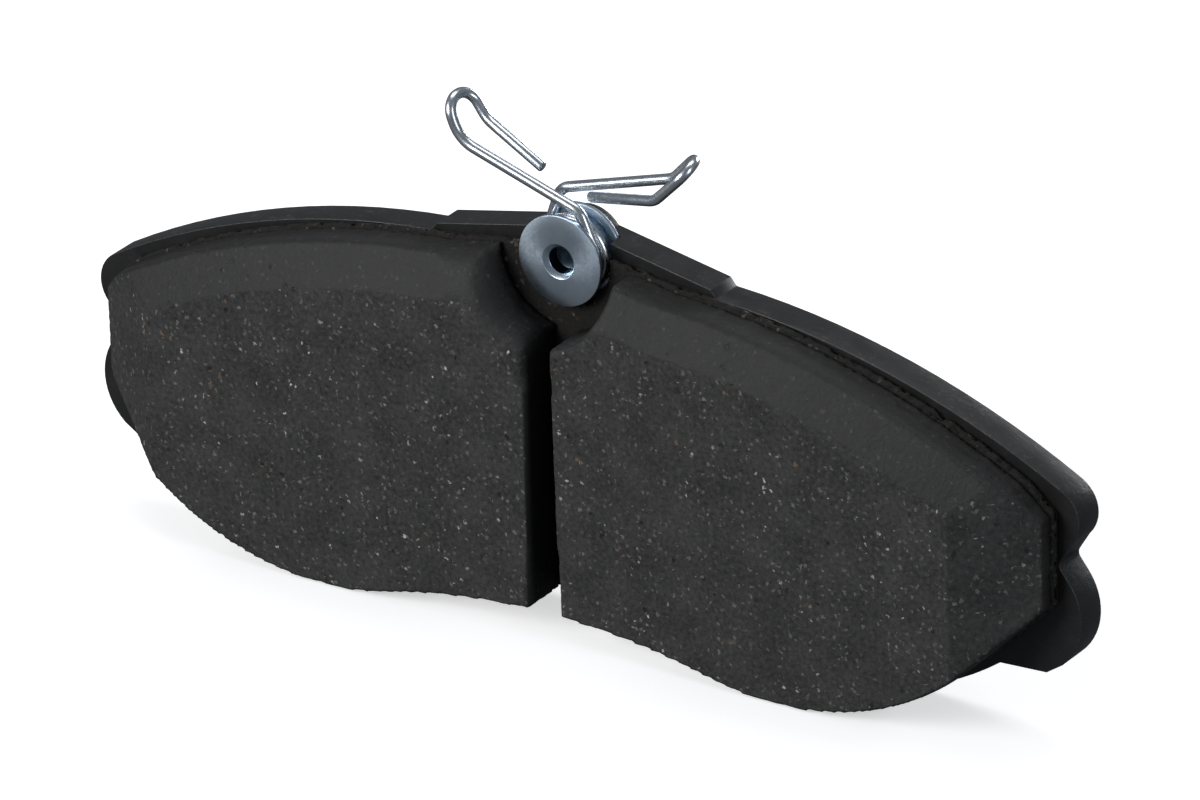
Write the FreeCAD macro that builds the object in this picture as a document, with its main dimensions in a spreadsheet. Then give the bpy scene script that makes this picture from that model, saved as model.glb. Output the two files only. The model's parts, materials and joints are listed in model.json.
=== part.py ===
import FreeCAD, Part
import math
import os

import Sketcher
from FreeCAD import Placement, Rotation, Vector

# Disc brake pad with a rivetted anti-rattle spring.
# X runs along the pad, +Y points to its back (the piston side), +Z is up.
# The origin is under the middle of the pad, on the surface that it stands on.

doc = FreeCAD.newDocument("brake_pad")
sizes = doc.addObject("Spreadsheet::Sheet", "sizes")

SIZES = [
    # layers, from the friction face to the back of the steel plate
    ("blockThick", 8.0, "friction material in front of the underlayer"),
    ("underThick", 1.35, "underlayer"),
    ("filmThick", 0.15, "adhesive film"),
    ("plateThick", 5.0, "steel backing plate"),
    # plate outline, right half
    ("landPeak", 57.5, "height at which the land's two slopes would meet"),
    ("landHalf", 21.7, "half width of the raised land"),
    ("landEdge", 53.1, "height of the land at its edge"),
    ("stepRun", 0.9, "run of the step beside the land"),
    ("stepDrop", 1.15, "drop of the step beside the land"),
    ("topBend", 125.0, "radius of the plate's top edge"),
    ("earTopX", 75.6, "end of the top edge"),
    ("earTopZ", 36.4, "end of the top edge"),
    ("upperLobe", 4.9, "radius of the upper ear lobe"),
    ("upperFootX", 76.6, "foot of the upper lobe"),
    ("upperFootZ", 28.9, "foot of the upper lobe"),
    ("notchX", 74.6, "bottom of the ear notch"),
    ("notchZ", 25.7, "bottom of the ear notch"),
    ("lowerHeadX", 76.4, "top of the lower lobe"),
    ("lowerHeadZ", 23.3, "top of the lower lobe"),
    ("lowerLobe", 9.0, "radius of the lower ear lobe"),
    ("lowerFootX", 75.0, "foot of the lower lobe"),
    ("lowerFootZ", 11.3, "foot of the lower lobe"),
    ("earBaseX", 72.6, "outer end of the ear's under edge"),
    ("earBaseZ", 9.7, "height of the ear's under edge"),
    ("plateToeX", 65.5, "where the under edge meets the shoe"),
    ("plateToeZ", 9.4, "where the under edge meets the shoe"),
    ("plateShoe", 48.69, "radius of the plate's lower shoe"),
    ("shoeTurnX", 26.0, "where the shoe turns into the inner arc"),
    ("shoeTurnZ", 1.2, "where the shoe turns into the inner arc"),
    ("innerBend", 105.0, "radius of the inner arc over the hub"),
    ("innerTopZ", 4.4, "height of the inner arc in the middle"),
    ("earRound", 1.1, "rounding of the ear corners"),
    # friction block outline, right half
    ("slotTopHalf", 1.75, "half width of the slot at its top"),
    ("slotFootHalf", 2.55, "half width of the slot at its foot"),
    ("blockPeakZ", 55.2, "height of the block beside the slot, before the spring bay"),
    ("blockTopX", 18.0, "start of the block's top arc"),
    ("blockTopZ", 52.3, "start of the block's top arc"),
    ("blockTopBend", 125.0, "radius of the block's top arc"),
    ("blockCapX", 70.5, "end of the block's top arc"),
    ("blockCapZ", 37.0, "end of the block's top arc"),
    ("blockEndX", 74.5, "end wall of the block"),
    ("blockEndTopZ", 33.4, "top of the end wall"),
    ("blockEndFootZ", 20.4, "foot of the end wall"),
    ("blockToeX", 64.3, "where the cut corner meets the shoe"),
    ("blockToeZ", 10.4, "where the cut corner meets the shoe"),
    ("blockShoe", 43.5, "radius of the block's lower shoe"),
    ("shoeGap", 0.1, "how much higher the block's shoe sits than the plate's"),
    ("flash", 0.35, "how far the underlayer stands out past the block"),
    ("topChamferRise", 3.0, "height of the top chamfer on the face"),
    ("topChamferDepth", 5.8, "depth of the top chamfer"),
    ("endChamferStart", 63.5, "where the end chamfer leaves the face"),
    ("endChamferDepth", 6.2, "depth of the end chamfer at the end wall"),
    ("plugRadius", 5.0, "keying hole in the plate, filled by the underlayer"),
    ("plugInset", 0.3, "how far each plug stays below the plate's back"),
    ("plugInnerX", 24.0, "inner keying hole"),
    ("plugInnerZ", 31.0, "inner keying hole"),
    ("plugOuterX", 52.0, "outer keying hole"),
    ("plugOuterZ", 25.0, "outer keying hole"),
    # rivet and washer
    ("rivetZ", 53.6, "height of the rivet's axis"),
    ("headFront", 6.1, "rivet head's front, from the friction face"),
    ("headThick", 0.9, "rivet head"),
    ("headRadius", 6.45, "rivet head"),
    ("headCrown", 0.25, "how far the head's rim falls behind its middle"),
    ("headHoleRadius", 1.85, "hole in the head"),
    ("headHoleDepth", 2.4, "hole in the head"),
    ("headRimRadius", 2.5, "countersunk rim of the hole"),
    ("headRimDepth", 0.6, "countersunk rim of the hole"),
    ("shoulderRadius", 3.9, "shoulder that the coil turns on"),
    ("tenonRadius", 2.2, "tenon through the washer and the plate"),
    ("tailRadius", 3.2, "upset tail in the plate's countersink"),
    ("tailDepth", 1.0, "depth of the upset tail"),
    ("tailInset", 0.15, "how far the tail stays below the plate's back"),
    ("washerLip", 0.55, "how far the washer reaches past the coil"),
    ("washerThick", 0.7, "washer behind the coil"),
    ("recessRoom", 0.3, "gap between the washer and the wall of the pocket round it"),
    ("recessDepth", 2.7, "recess round the rivet in the plate's front"),
    ("lugRadius", 5.2, "lug of the plate behind the washer"),
    ("bayBackRadius", 10.0, "spring bay in the lining, at the plate"),
    ("bayFrontRadius", 10.2, "spring bay in the lining, at the face"),
    # spring
    ("wireRadius", 0.75, "spring wire"),
    ("coilRadius", 5.0, "mean radius of the coil"),
    ("coilPitch", 1.7, "pitch of the coil"),
    ("coilGap", 0.15, "gap between the coil and the rivet's head"),
    ("coilEndGap", 3.0, "degrees left open between the coil and each arm"),
]


def fillSheet():
    for row, (alias, value, note) in enumerate(SIZES, start=1):
        sizes.set(f"A{row}", alias)
        sizes.set(f"B{row}", str(value))
        sizes.set(f"C{row}", note)
        sizes.setAlias(f"B{row}", alias)
    doc.recompute()


fillSheet()


def size(expression):
    return float(sizes.evalExpression(expression))


def cell(*names):
    """Return one expression that adds up the named cells."""
    return " + ".join(f"sizes.{name}" for name in names)


# Radii about the rivet, as expressions in the sheet's cells.
WASHER_RADIUS = cell("coilRadius", "wireRadius", "washerLip")
RECESS_RADIUS = f"{WASHER_RADIUS} + sizes.recessRoom"

# Places along Y, as expressions in the sheet's cells.
HALF_DEPTH = f"({cell('blockThick', 'underThick', 'filmThick', 'plateThick')}) / 2"
FACE_Y = f"-({HALF_DEPTH})"
BLOCK_BACK_Y = f"{FACE_Y} + sizes.blockThick"
UNDER_BACK_Y = f"{BLOCK_BACK_Y} + sizes.underThick"
PLATE_FRONT_Y = f"{UNDER_BACK_Y} + sizes.filmThick"
PLATE_BACK_Y = HALF_DEPTH
WASHER_BACK_Y = f"{PLATE_FRONT_Y} + sizes.recessDepth"
# The rivet's places are measured from the friction face.
HEAD_BACK = cell("headFront", "headThick")
WASHER_BACK = cell("blockThick", "underThick", "filmThick", "recessDepth")
WASHER_FRONT = f"{WASHER_BACK} - sizes.washerThick"
PLATE_BACK = cell("blockThick", "underThick", "filmThick", "plateThick")


def newBody(name):
    body = doc.addObject("PartDesign::Body", name)
    body.Label = name
    return body


def plane(body, role):
    return next(item for item in body.Origin.OriginFeatures if item.Role == role)


def newSketch(body, role, name, across="0", up="0", out="0"):
    """A sketch on an origin plane, moved by three expressions in the plane's own axes."""
    sketch = body.newObject("Sketcher::SketchObject", name)
    sketch.AttachmentSupport = (plane(body, role), [""])
    sketch.MapMode = "FlatFace"
    sketch.setExpression("AttachmentOffset.Base.x", across)
    sketch.setExpression("AttachmentOffset.Base.y", up)
    sketch.setExpression("AttachmentOffset.Base.z", out)
    return sketch


def frontSketch(body, name, y):
    """A sketch in the XZ plane at a place along Y; its normal points to -Y."""
    return newSketch(body, "XZ_Plane", name, out=f"-({y})")


def bind(sketch, constraint, expression):
    index = sketch.addConstraint(constraint)
    sketch.setExpression(f"Constraints[{index}]", expression)


def pin(sketch, geometry, end, across, up):
    """Hold one point at two expressions, or on an axis where the expression is 0."""
    for kind, axis, expression in (("DistanceX", -2, across), ("DistanceY", -1, up)):
        if expression == "0":
            sketch.addConstraint(Sketcher.Constraint("PointOnObject", geometry, end, axis))
        else:
            constraint = Sketcher.Constraint(kind, -1, 1, geometry, end, size(expression))
            bind(sketch, constraint, expression)


def arcBetween(start, end, radius, side):
    """A short arc that leaves its chord to the right (side 1) or to the left (side -1)."""
    chord = end - start
    half = chord.Length / 2
    rise = radius - math.sqrt(radius * radius - half * half)
    outward = Vector(chord.y, -chord.x, 0).normalize() * side
    return Part.Arc(start, start + chord * 0.5 + outward * rise, end)


def outline(sketch, corners, arcs):
    """A closed, anticlockwise outline; arcs maps a corner to the radius and side of its arc."""
    points = [Vector(size(across), size(up), 0) for across, up in corners]
    count = len(points)
    starts = []
    for index in range(count):
        start, end = points[index], points[(index + 1) % count]
        if index in arcs:
            radius, side = arcs[index]
            curve = arcBetween(start, end, size(radius), side)
            geometry = sketch.addGeometry(curve, False)
            bind(sketch, Sketcher.Constraint("Radius", geometry, size(radius)), radius)
            starts.append((geometry, 1, 2) if side > 0 else (geometry, 2, 1))
        else:
            geometry = sketch.addGeometry(Part.LineSegment(start, end), False)
            starts.append((geometry, 1, 2))
    for index in range(count):
        geometry, first, last = starts[index]
        following, followingFirst, unused = starts[(index + 1) % count]
        sketch.addConstraint(
            Sketcher.Constraint("Coincident", geometry, last, following, followingFirst))
        pin(sketch, geometry, first, *corners[index])


def circle(sketch, across, up, radius):
    centre = Vector(size(across), size(up), 0)
    shape = Part.Circle(centre, Vector(0, 0, 1), size(radius))
    geometry = sketch.addGeometry(shape, False)
    pin(sketch, geometry, 3, across, up)
    bind(sketch, Sketcher.Constraint("Radius", geometry, size(radius)), radius)


def pad(body, sketch, length, name):
    feature = body.newObject("PartDesign::Pad", name)
    feature.Profile = sketch
    feature.setExpression("Length", length)
    doc.recompute()
    return feature


def pocket(body, sketch, name, depth=None):
    """Cut to a depth along the sketch's back side, or right through both ways."""
    before = body.Shape.Volume
    feature = body.newObject("PartDesign::Pocket", name)
    feature.Profile = sketch
    if depth is None:
        feature.Type = "ThroughAll"
        feature.Midplane = True
    else:
        feature.setExpression("Length", depth)
    doc.recompute()
    if body.Shape.Volume >= before:
        raise RuntimeError(f"{body.Label}: {name} cuts nothing")
    return feature


def mirrorAcrossMiddle(body, features):
    feature = body.newObject("PartDesign::Mirrored", body.Name + "_mirror")
    feature.Originals = features
    feature.MirrorPlane = (plane(body, "YZ_Plane"), [""])
    body.Tip = feature
    doc.recompute()
    return feature


def straightEdges(shape, keep):
    """Names of the straight edges along Y that keep(point) picks."""
    names = []
    for index, edge in enumerate(shape.Edges, start=1):
        direction = edge.Vertexes[-1].Point - edge.Vertexes[0].Point
        if abs(direction.y) > 0.9 * max(edge.Length, 1e-6) and keep(edge.Vertexes[0].Point):
            names.append(f"Edge{index}")
    return names


def fillet(body, names, radius, name):
    base = body.Tip
    feature = body.newObject("PartDesign::Fillet", name)
    feature.Base = (base, names)
    feature.setExpression("Radius", radius)
    body.Tip = feature
    doc.recompute()
    return feature


def keyingHoles(sketch):
    for name in ("Inner", "Outer"):
        circle(sketch, f"sizes.plug{name}X", f"sizes.plug{name}Z", "sizes.plugRadius")


def backingPlate():
    body = newBody("backing_plate")
    corners = [
        ("0", cell("innerTopZ")),
        (cell("shoeTurnX"), cell("shoeTurnZ")),
        (cell("plateToeX"), cell("plateToeZ")),
        (cell("earBaseX"), cell("earBaseZ")),
        (cell("lowerFootX"), cell("lowerFootZ")),
        (cell("lowerHeadX"), cell("lowerHeadZ")),
        (cell("notchX"), cell("notchZ")),
        (cell("upperFootX"), cell("upperFootZ")),
        (cell("earTopX"), cell("earTopZ")),
        (cell("landHalf", "stepRun"), "sizes.landEdge - sizes.stepDrop"),
        (cell("landHalf"), cell("landEdge")),
        ("0", cell("landPeak")),
    ]
    arcs = {
        0: (cell("innerBend"), -1),
        1: (cell("plateShoe"), 1),
        4: (cell("lowerLobe"), 1),
        7: (cell("upperLobe"), 1),
        8: (cell("topBend"), 1),
    }
    half = frontSketch(body, "plate_outline", PLATE_BACK_Y)
    outline(half, corners, arcs)
    blank = pad(body, half, "sizes.plateThick", "plate_blank")
    whole = mirrorAcrossMiddle(body, [blank])
    ears = straightEdges(whole.Shape, lambda point: abs(point.x) > size("sizes.blockEndX"))
    fillet(body, ears, "sizes.earRound", "ear_rounding")
    lug = frontSketch(body, "lug_outline", PLATE_BACK_Y)
    circle(lug, "0", "sizes.rivetZ", "sizes.lugRadius")
    pad(body, lug, "sizes.plateThick - sizes.recessDepth", "rivet_lug")
    recess = frontSketch(body, "recess_outline", PLATE_FRONT_Y)
    circle(recess, "0", "sizes.rivetZ", RECESS_RADIUS)
    pocket(body, recess, "rivet_recess", "sizes.recessDepth")
    holes = frontSketch(body, "rivet_hole_outline", PLATE_FRONT_Y)
    circle(holes, "0", "sizes.rivetZ", "sizes.tenonRadius")
    pocket(body, holes, "rivet_hole")
    seat = newSketch(body, "XY_Plane", "tail_seat_outline", up=FACE_Y, out="sizes.rivetZ")
    tailCone(seat, PLATE_BACK)
    groove = body.newObject("PartDesign::Groove", "tail_seat")
    groove.Profile = seat
    groove.ReferenceAxis = (seat, ["V_Axis"])
    groove.Angle = 360
    doc.recompute()
    keys = frontSketch(body, "keying_outline", PLATE_FRONT_Y)
    keyingHoles(keys)
    cut = pocket(body, keys, "keying_holes")
    mirrorAcrossMiddle(body, [cut])
    return body


def tailCone(sketch, back):
    """Half section of the countersink that the rivet's tail fills."""
    corners = [
        ("0", f"{back} - sizes.tailDepth"),
        ("sizes.tenonRadius", f"{back} - sizes.tailDepth"),
        ("sizes.tailRadius", back),
        ("0", back),
    ]
    outline(sketch, corners, {})


def adhesiveFilm():
    body = newBody("adhesive_film")
    half = frontSketch(body, "film_outline", PLATE_FRONT_Y)
    liningHalf(half, "0", "0")
    sheet = pad(body, half, "sizes.filmThick", "film_blank")
    mirrorAcrossMiddle(body, [sheet])
    holes = frontSketch(body, "film_key_outline", UNDER_BACK_Y)
    keyingHoles(holes)
    cut = pocket(body, holes, "film_key_holes")
    mirrorAcrossMiddle(body, [cut])
    rivetOpening(body, PLATE_FRONT_Y, "film_opening")
    return body


def liningHalf(sketch, slotSide, grow):
    """Right half of the lining, from the middle or a slot side, grown outward by an expression."""
    top = "sizes.slotTopHalf" if slotSide != "0" else "0"
    foot = "sizes.slotFootHalf" if slotSide != "0" else "0"
    corners = [
        (foot, cell("innerTopZ", "shoeGap")),
        ("sizes.shoeTurnX", cell("shoeTurnZ", "shoeGap")),
        (f"sizes.blockToeX + ({grow})", cell("blockToeZ")),
        (f"sizes.blockEndX + ({grow})", f"sizes.blockEndFootZ - ({grow}) / 2"),
        (f"sizes.blockEndX + ({grow})", f"sizes.blockEndTopZ + ({grow}) / 2"),
        (f"sizes.blockCapX + ({grow}) / 2", f"sizes.blockCapZ + ({grow})"),
        ("sizes.blockTopX", f"sizes.blockTopZ + ({grow})"),
        (top, f"sizes.blockPeakZ + ({grow})"),
    ]
    arcs = {
        0: ("sizes.innerBend", -1),
        1: ("sizes.blockShoe", 1),
        5: ("sizes.blockTopBend", 1),
    }
    outline(sketch, corners, arcs)


def rivetOpening(body, frontY, name):
    """Round opening through a lining layer, over the plate's recess."""
    ring = frontSketch(body, name + "_outline", frontY)
    circle(ring, "0", "sizes.rivetZ", RECESS_RADIUS)
    pocket(body, ring, name)


def springBay(body, name):
    """Round bay about the rivet, wider at the friction face than at the plate."""
    before = body.Shape.Volume
    cone = body.newObject("PartDesign::SubtractiveCone", name)
    cone.AttachmentSupport = (plane(body, "XZ_Plane"), [""])
    cone.MapMode = "FlatFace"
    cone.setExpression("AttachmentOffset.Base.y", "sizes.rivetZ")
    cone.setExpression("AttachmentOffset.Base.z", f"-({PLATE_FRONT_Y})")
    cone.setExpression("Radius1", "sizes.bayBackRadius")
    cone.setExpression("Radius2", "sizes.bayFrontRadius")
    cone.setExpression("Height", f"{PLATE_FRONT_Y} - ({FACE_Y})")
    body.Tip = cone
    doc.recompute()
    if body.Shape.Volume >= before:
        raise RuntimeError(f"{body.Label}: {name} cuts nothing")


def underlayer():
    body = newBody("underlayer")
    half = frontSketch(body, "underlayer_outline", UNDER_BACK_Y)
    liningHalf(half, "0", "sizes.flash")
    layer = pad(body, half, "sizes.underThick", "underlayer_blank")
    mirrorAcrossMiddle(body, [layer])
    rivetOpening(body, BLOCK_BACK_Y, "underlayer_opening")
    keys = frontSketch(body, "plug_outline", f"{PLATE_BACK_Y} - sizes.plugInset")
    keyingHoles(keys)
    reach = "sizes.filmThick + sizes.plateThick - sizes.plugInset"
    plugs = pad(body, keys, reach, "keying_plugs")
    mirrorAcrossMiddle(body, [plugs])
    return body


def frictionBlock():
    body = newBody("friction_block_right")
    half = frontSketch(body, "block_outline", BLOCK_BACK_Y)
    liningHalf(half, "slot", "0")
    block = pad(body, half, "sizes.blockThick", "block_blank")
    chamferTop(body, block)
    ends = newSketch(body, "XY_Plane", "end_chamfer_outline", up=FACE_Y)
    corners = [
        ("sizes.endChamferStart", "0"),
        ("sizes.blockEndX", "0"),
        ("sizes.blockEndX", "sizes.endChamferDepth"),
    ]
    outline(ends, corners, {})
    pocket(body, ends, "end_chamfer")
    springBay(body, "block_bay")
    return body


def chamferTop(body, block):
    """Long chamfer along the upper edge of the friction face."""
    face = size(FACE_Y)
    lowest = size("sizes.blockEndTopZ") - 0.01
    names = []
    for index, edge in enumerate(block.Shape.Edges, start=1):
        points = [vertex.Point for vertex in edge.Vertexes]
        onFace = all(abs(point.y - face) < 1e-4 for point in points)
        high = all(point.z > lowest for point in points)
        if onFace and high:
            names.append(f"Edge{index}")
    chamfer = body.newObject("PartDesign::Chamfer", "top_chamfer")
    chamfer.Base = (block, names)
    chamfer.ChamferType = "Two distances"
    chamfer.setExpression("Size", "sizes.topChamferRise")
    chamfer.setExpression("Size2", "sizes.topChamferDepth")
    body.Tip = chamfer
    doc.recompute()


def mirrored(source, name):
    twin = doc.addObject("Part::Mirroring", name)
    twin.Label = name
    twin.Source = source
    twin.Normal = Vector(1, 0, 0)
    doc.recompute()
    return twin


def rivet():
    body = newBody("rivet")
    section = newSketch(body, "XY_Plane", "rivet_section", up=FACE_Y, out="sizes.rivetZ")
    corners = [
        ("0", "sizes.headFront + sizes.headHoleDepth"),
        ("sizes.headHoleRadius", "sizes.headFront + sizes.headHoleDepth"),
        ("sizes.headHoleRadius", "sizes.headFront + sizes.headRimDepth"),
        ("sizes.headRimRadius", "sizes.headFront"),
        ("sizes.headRadius", "sizes.headFront + sizes.headCrown"),
        ("sizes.headRadius", HEAD_BACK),
        ("sizes.shoulderRadius", HEAD_BACK),
        ("sizes.shoulderRadius", WASHER_FRONT),
        ("sizes.tenonRadius", WASHER_FRONT),
        ("sizes.tenonRadius", f"{PLATE_BACK} - sizes.tailDepth"),
        ("sizes.tailRadius - sizes.tailInset", f"{PLATE_BACK} - sizes.tailInset"),
        ("0", f"{PLATE_BACK} - sizes.tailInset"),
    ]
    outline(section, corners, {})
    turned = body.newObject("PartDesign::Revolution", "rivet_turned")
    turned.Profile = section
    turned.ReferenceAxis = (section, ["V_Axis"])
    turned.Angle = 360
    doc.recompute()
    return body


def washer():
    body = newBody("spring_washer")
    ring = frontSketch(body, "washer_outline", WASHER_BACK_Y)
    circle(ring, "0", "sizes.rivetZ", WASHER_RADIUS)
    circle(ring, "0", "sizes.rivetZ", "sizes.tenonRadius")
    pad(body, ring, "sizes.washerThick", "washer_blank")
    return body


# Spring. An arm's corners are the elbow, the kink, two at the loop, the return kink and
# the cut end, measured from the middle of the turn that it leaves: X to the right, Y to
# the back, Z up. The right arm is shaped the same way, then turned half round.
LEFT_ARM = [
    Vector(2.5, 0, 7.1),
    Vector(-16.4, 0, 13.4),
    Vector(-18.3, 0, 18.6),
    Vector(-18.0, 5.0, 18.6),
    Vector(-14.9, 4.5, 14.9),
    Vector(-4.9, 2.5, 10.9),
]
LEFT_BENDS = [2.6, 5.0, 2.4, 2.1, 4.0]
RIGHT_ARM = [
    Vector(2.3, 0, 8.5),
    Vector(-15.6, 0, 13.7),
    Vector(-18.9, 0, 17.2),
    Vector(-22.0, 4.5, 18.6),
    Vector(-15.4, 4.4, 12.1),
    Vector(-3.8, 2.2, 9.3),
]
RIGHT_BENDS = [2.6, 3.0, 2.1, 2.1, 3.0]


def leaveAngle(elbow):
    """Degrees round the coil at which a straight wire to the elbow leaves it."""
    tangent = math.acos(size("sizes.coilRadius") / elbow.Length)
    return math.degrees(math.atan2(elbow.z, elbow.x) - tangent)


def coilSweep():
    """Degrees of wire in the coil, from the left arm's exit to the right arm's exit."""
    return 540 + leaveAngle(LEFT_ARM[0]) + leaveAngle(RIGHT_ARM[0])


def frontTurnY():
    return size(f"{FACE_Y} + {HEAD_BACK} + sizes.coilGap + sizes.wireRadius")


def rearTurnY():
    return frontTurnY() + size("sizes.coilPitch") * coilSweep() / 360


def springCoil():
    body = newBody("spring_coil")
    profile = newSketch(body, "XY_Plane", "wire_section")
    circle(profile, "sizes.coilRadius", "0", "sizes.wireRadius")
    gap = size("sizes.coilEndGap")
    coil = body.newObject("PartDesign::AdditiveHelix", "wire_coil")
    coil.Profile = profile
    coil.ReferenceAxis = (profile, ["V_Axis"])
    coil.Mode = "pitch-turns-angle"
    coil.setExpression("Pitch", "sizes.coilPitch")
    coil.Turns = (coilSweep() - 2 * gap) / 360
    coil.LeftHanded = False
    coil.Reversed = False
    doc.recompute()
    start = frontTurnY() + size("sizes.coilPitch") * gap / 360
    turn = Rotation(Vector(0, 1, 0), gap - leaveAngle(LEFT_ARM[0]))
    body.Placement = Placement(Vector(0, start, size("sizes.rivetZ")), turn)
    doc.recompute()
    return body


def bentWire(points, bends):
    """Straight runs through the points, joined by tangent arcs of the given radii."""
    edges = []
    last = points[0]
    for before, corner, after, radius in zip(points, points[1:], points[2:], bends):
        into = (corner - before).normalize()
        away = (after - corner).normalize()
        turn = into.getAngle(away)
        reach = radius * math.tan(turn / 2)
        start = corner - into * reach
        end = corner + away * reach
        bisector = (away - into).normalize()
        middle = corner + bisector * (radius / math.cos(turn / 2) - radius)
        if (start - last).Length > 1e-6:
            edges.append(Part.LineSegment(last, start).toShape())
        edges.append(Part.Arc(start, middle, end).toShape())
        last = end
    edges.append(Part.LineSegment(last, points[-1]).toShape())
    return Part.Wire(edges)


def armShape(corners, bends):
    """An arm on the front turn: up to the elbow, out to the kink, round the loop and back."""
    angle = math.radians(leaveAngle(corners[0]))
    coilRadius = size("sizes.coilRadius")
    leave = Vector(coilRadius * math.cos(angle), 0, coilRadius * math.sin(angle))
    shift = Vector(0, frontTurnY(), size("sizes.rivetZ"))
    points = [point + shift for point in [leave] + corners]
    path = bentWire(points, bends)
    ring = Part.Circle(points[0], points[1] - points[0], size("sizes.wireRadius"))
    section = Part.Wire(ring.toShape())
    return path.makePipeShell([section], True, True)


def springArm(name, shape, placement):
    arm = doc.addObject("Part::Feature", name)
    arm.Label = name
    arm.Shape = shape
    arm.Placement = placement
    return arm


def build():
    block = frictionBlock()
    middleY = (frontTurnY() + rearTurnY()) / 2
    halfTurn = Placement(Vector(0, 2 * middleY, 0), Rotation(Vector(0, 0, 1), 180))
    return [
        backingPlate(),
        adhesiveFilm(),
        underlayer(),
        block,
        mirrored(block, "friction_block_left"),
        rivet(),
        washer(),
        springCoil(),
        springArm("spring_arm_left", armShape(LEFT_ARM, LEFT_BENDS), Placement()),
        springArm("spring_arm_right", armShape(RIGHT_ARM, RIGHT_BENDS), halfTurn),
    ]


def check(parts):
    doc.recompute()
    for item in doc.Objects:
        if "Invalid" in item.State or "Error" in item.State:
            raise RuntimeError(f"{item.Label} did not recompute")
    for part in parts:
        if part.Shape.isNull() or not part.Shape.isValid():
            raise RuntimeError(f"{part.Label} has no valid shape")
        box = part.Shape.BoundBox
        print(f"{part.Label}: {part.Shape.Volume:.1f} mm3, {len(part.Shape.Solids)} solid(s), "
              f"X {box.XMin:.2f}..{box.XMax:.2f}, Y {box.YMin:.2f}..{box.YMax:.2f}, "
              f"Z {box.ZMin:.2f}..{box.ZMax:.2f}")


def export(parts):
    os.makedirs("parts", exist_ok=True)
    for part in parts:
        part.Shape.exportStep(f"parts/{part.Label}.step")


parts = build()
check(parts)
export(parts)
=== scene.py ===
import json
import math

import bmesh
import bpy
from mathutils import Matrix, Vector, noise


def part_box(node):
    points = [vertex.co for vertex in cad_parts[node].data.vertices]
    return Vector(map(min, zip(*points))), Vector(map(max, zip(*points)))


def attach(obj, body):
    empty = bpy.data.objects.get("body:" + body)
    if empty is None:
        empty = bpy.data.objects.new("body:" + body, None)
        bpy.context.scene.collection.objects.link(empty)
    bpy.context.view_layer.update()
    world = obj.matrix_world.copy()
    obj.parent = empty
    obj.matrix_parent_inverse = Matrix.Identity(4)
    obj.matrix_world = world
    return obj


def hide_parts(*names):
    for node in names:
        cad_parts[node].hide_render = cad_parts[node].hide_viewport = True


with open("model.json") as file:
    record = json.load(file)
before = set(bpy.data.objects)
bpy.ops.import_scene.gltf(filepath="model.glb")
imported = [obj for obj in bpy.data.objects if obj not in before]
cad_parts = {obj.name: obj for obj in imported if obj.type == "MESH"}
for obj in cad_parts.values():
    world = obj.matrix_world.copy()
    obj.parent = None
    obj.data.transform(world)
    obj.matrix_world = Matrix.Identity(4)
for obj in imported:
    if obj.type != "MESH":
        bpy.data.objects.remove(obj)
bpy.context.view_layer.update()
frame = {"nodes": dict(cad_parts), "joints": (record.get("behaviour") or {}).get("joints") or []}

mm = 0.001
rivetAxis = Vector(frame["joints"][0]["pos_m"])
alongRivet = Vector((0, 1, 0))
print("frame loaded, rivet axis at", tuple(round(value, 5) for value in rivetAxis))


def addObject(name, data):
    thing = bpy.data.objects.new(name, data)
    bpy.context.scene.collection.objects.link(thing)
    return thing


def feed(tree, socket, value):
    if isinstance(value, bpy.types.NodeSocket):
        tree.links.new(value, socket)
    else:
        socket.default_value = value


def put(tree, kind, sockets=None, **settings):
    node = tree.nodes.new(kind)
    for key, value in settings.items():
        setattr(node, key, value)
    for label, value in (sockets or {}).items():
        feed(tree, node.inputs[label], value)
    return node


def newGroup(name, inputs, outputs):
    tree = bpy.data.node_groups.new(name, "ShaderNodeTree")
    for label, kind, value in inputs:
        socket = tree.interface.new_socket(name=label, in_out="INPUT", socket_type=kind)
        socket.default_value = value
    for label, kind in outputs:
        tree.interface.new_socket(name=label, in_out="OUTPUT", socket_type=kind)
    return tree, put(tree, "NodeGroupInput").outputs, put(tree, "NodeGroupOutput").inputs


def objectPoint(tree, scale=(1, 1, 1), turn=(0, 0, 0)):
    place = put(tree, "ShaderNodeTexCoord").outputs["Object"]
    sockets = {"Vector": place, "Scale": scale, "Rotation": turn}
    return put(tree, "ShaderNodeMapping", sockets, vector_type="TEXTURE").outputs["Vector"]


def cloud(tree, point, scale, detail=3.0, rough=0.55):
    sockets = {"Vector": point, "Scale": scale, "Detail": detail, "Roughness": rough}
    return put(tree, "ShaderNodeTexNoise", sockets).outputs["Fac"]


def ramp(tree, value, low, high, start=0.0, end=1.0):
    sockets = {"Value": value, "From Min": low, "From Max": high,
               "To Min": start, "To Max": end}
    return put(tree, "ShaderNodeMapRange", sockets).outputs["Result"]


def calc(tree, operation, first, second=0.0):
    node = put(tree, "ShaderNodeMath", operation=operation)
    feed(tree, node.inputs[0], first)
    feed(tree, node.inputs[1], second)
    return node.outputs[0]


def mixColour(tree, factor, first, second):
    node = put(tree, "ShaderNodeMix", data_type="RGBA")
    feed(tree, node.inputs[0], factor)
    feed(tree, node.inputs[6], first)
    feed(tree, node.inputs[7], second)
    return node.outputs[2]


def readMask(tree, name):
    return put(tree, "ShaderNodeAttribute", attribute_name=name).outputs["Fac"]


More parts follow.
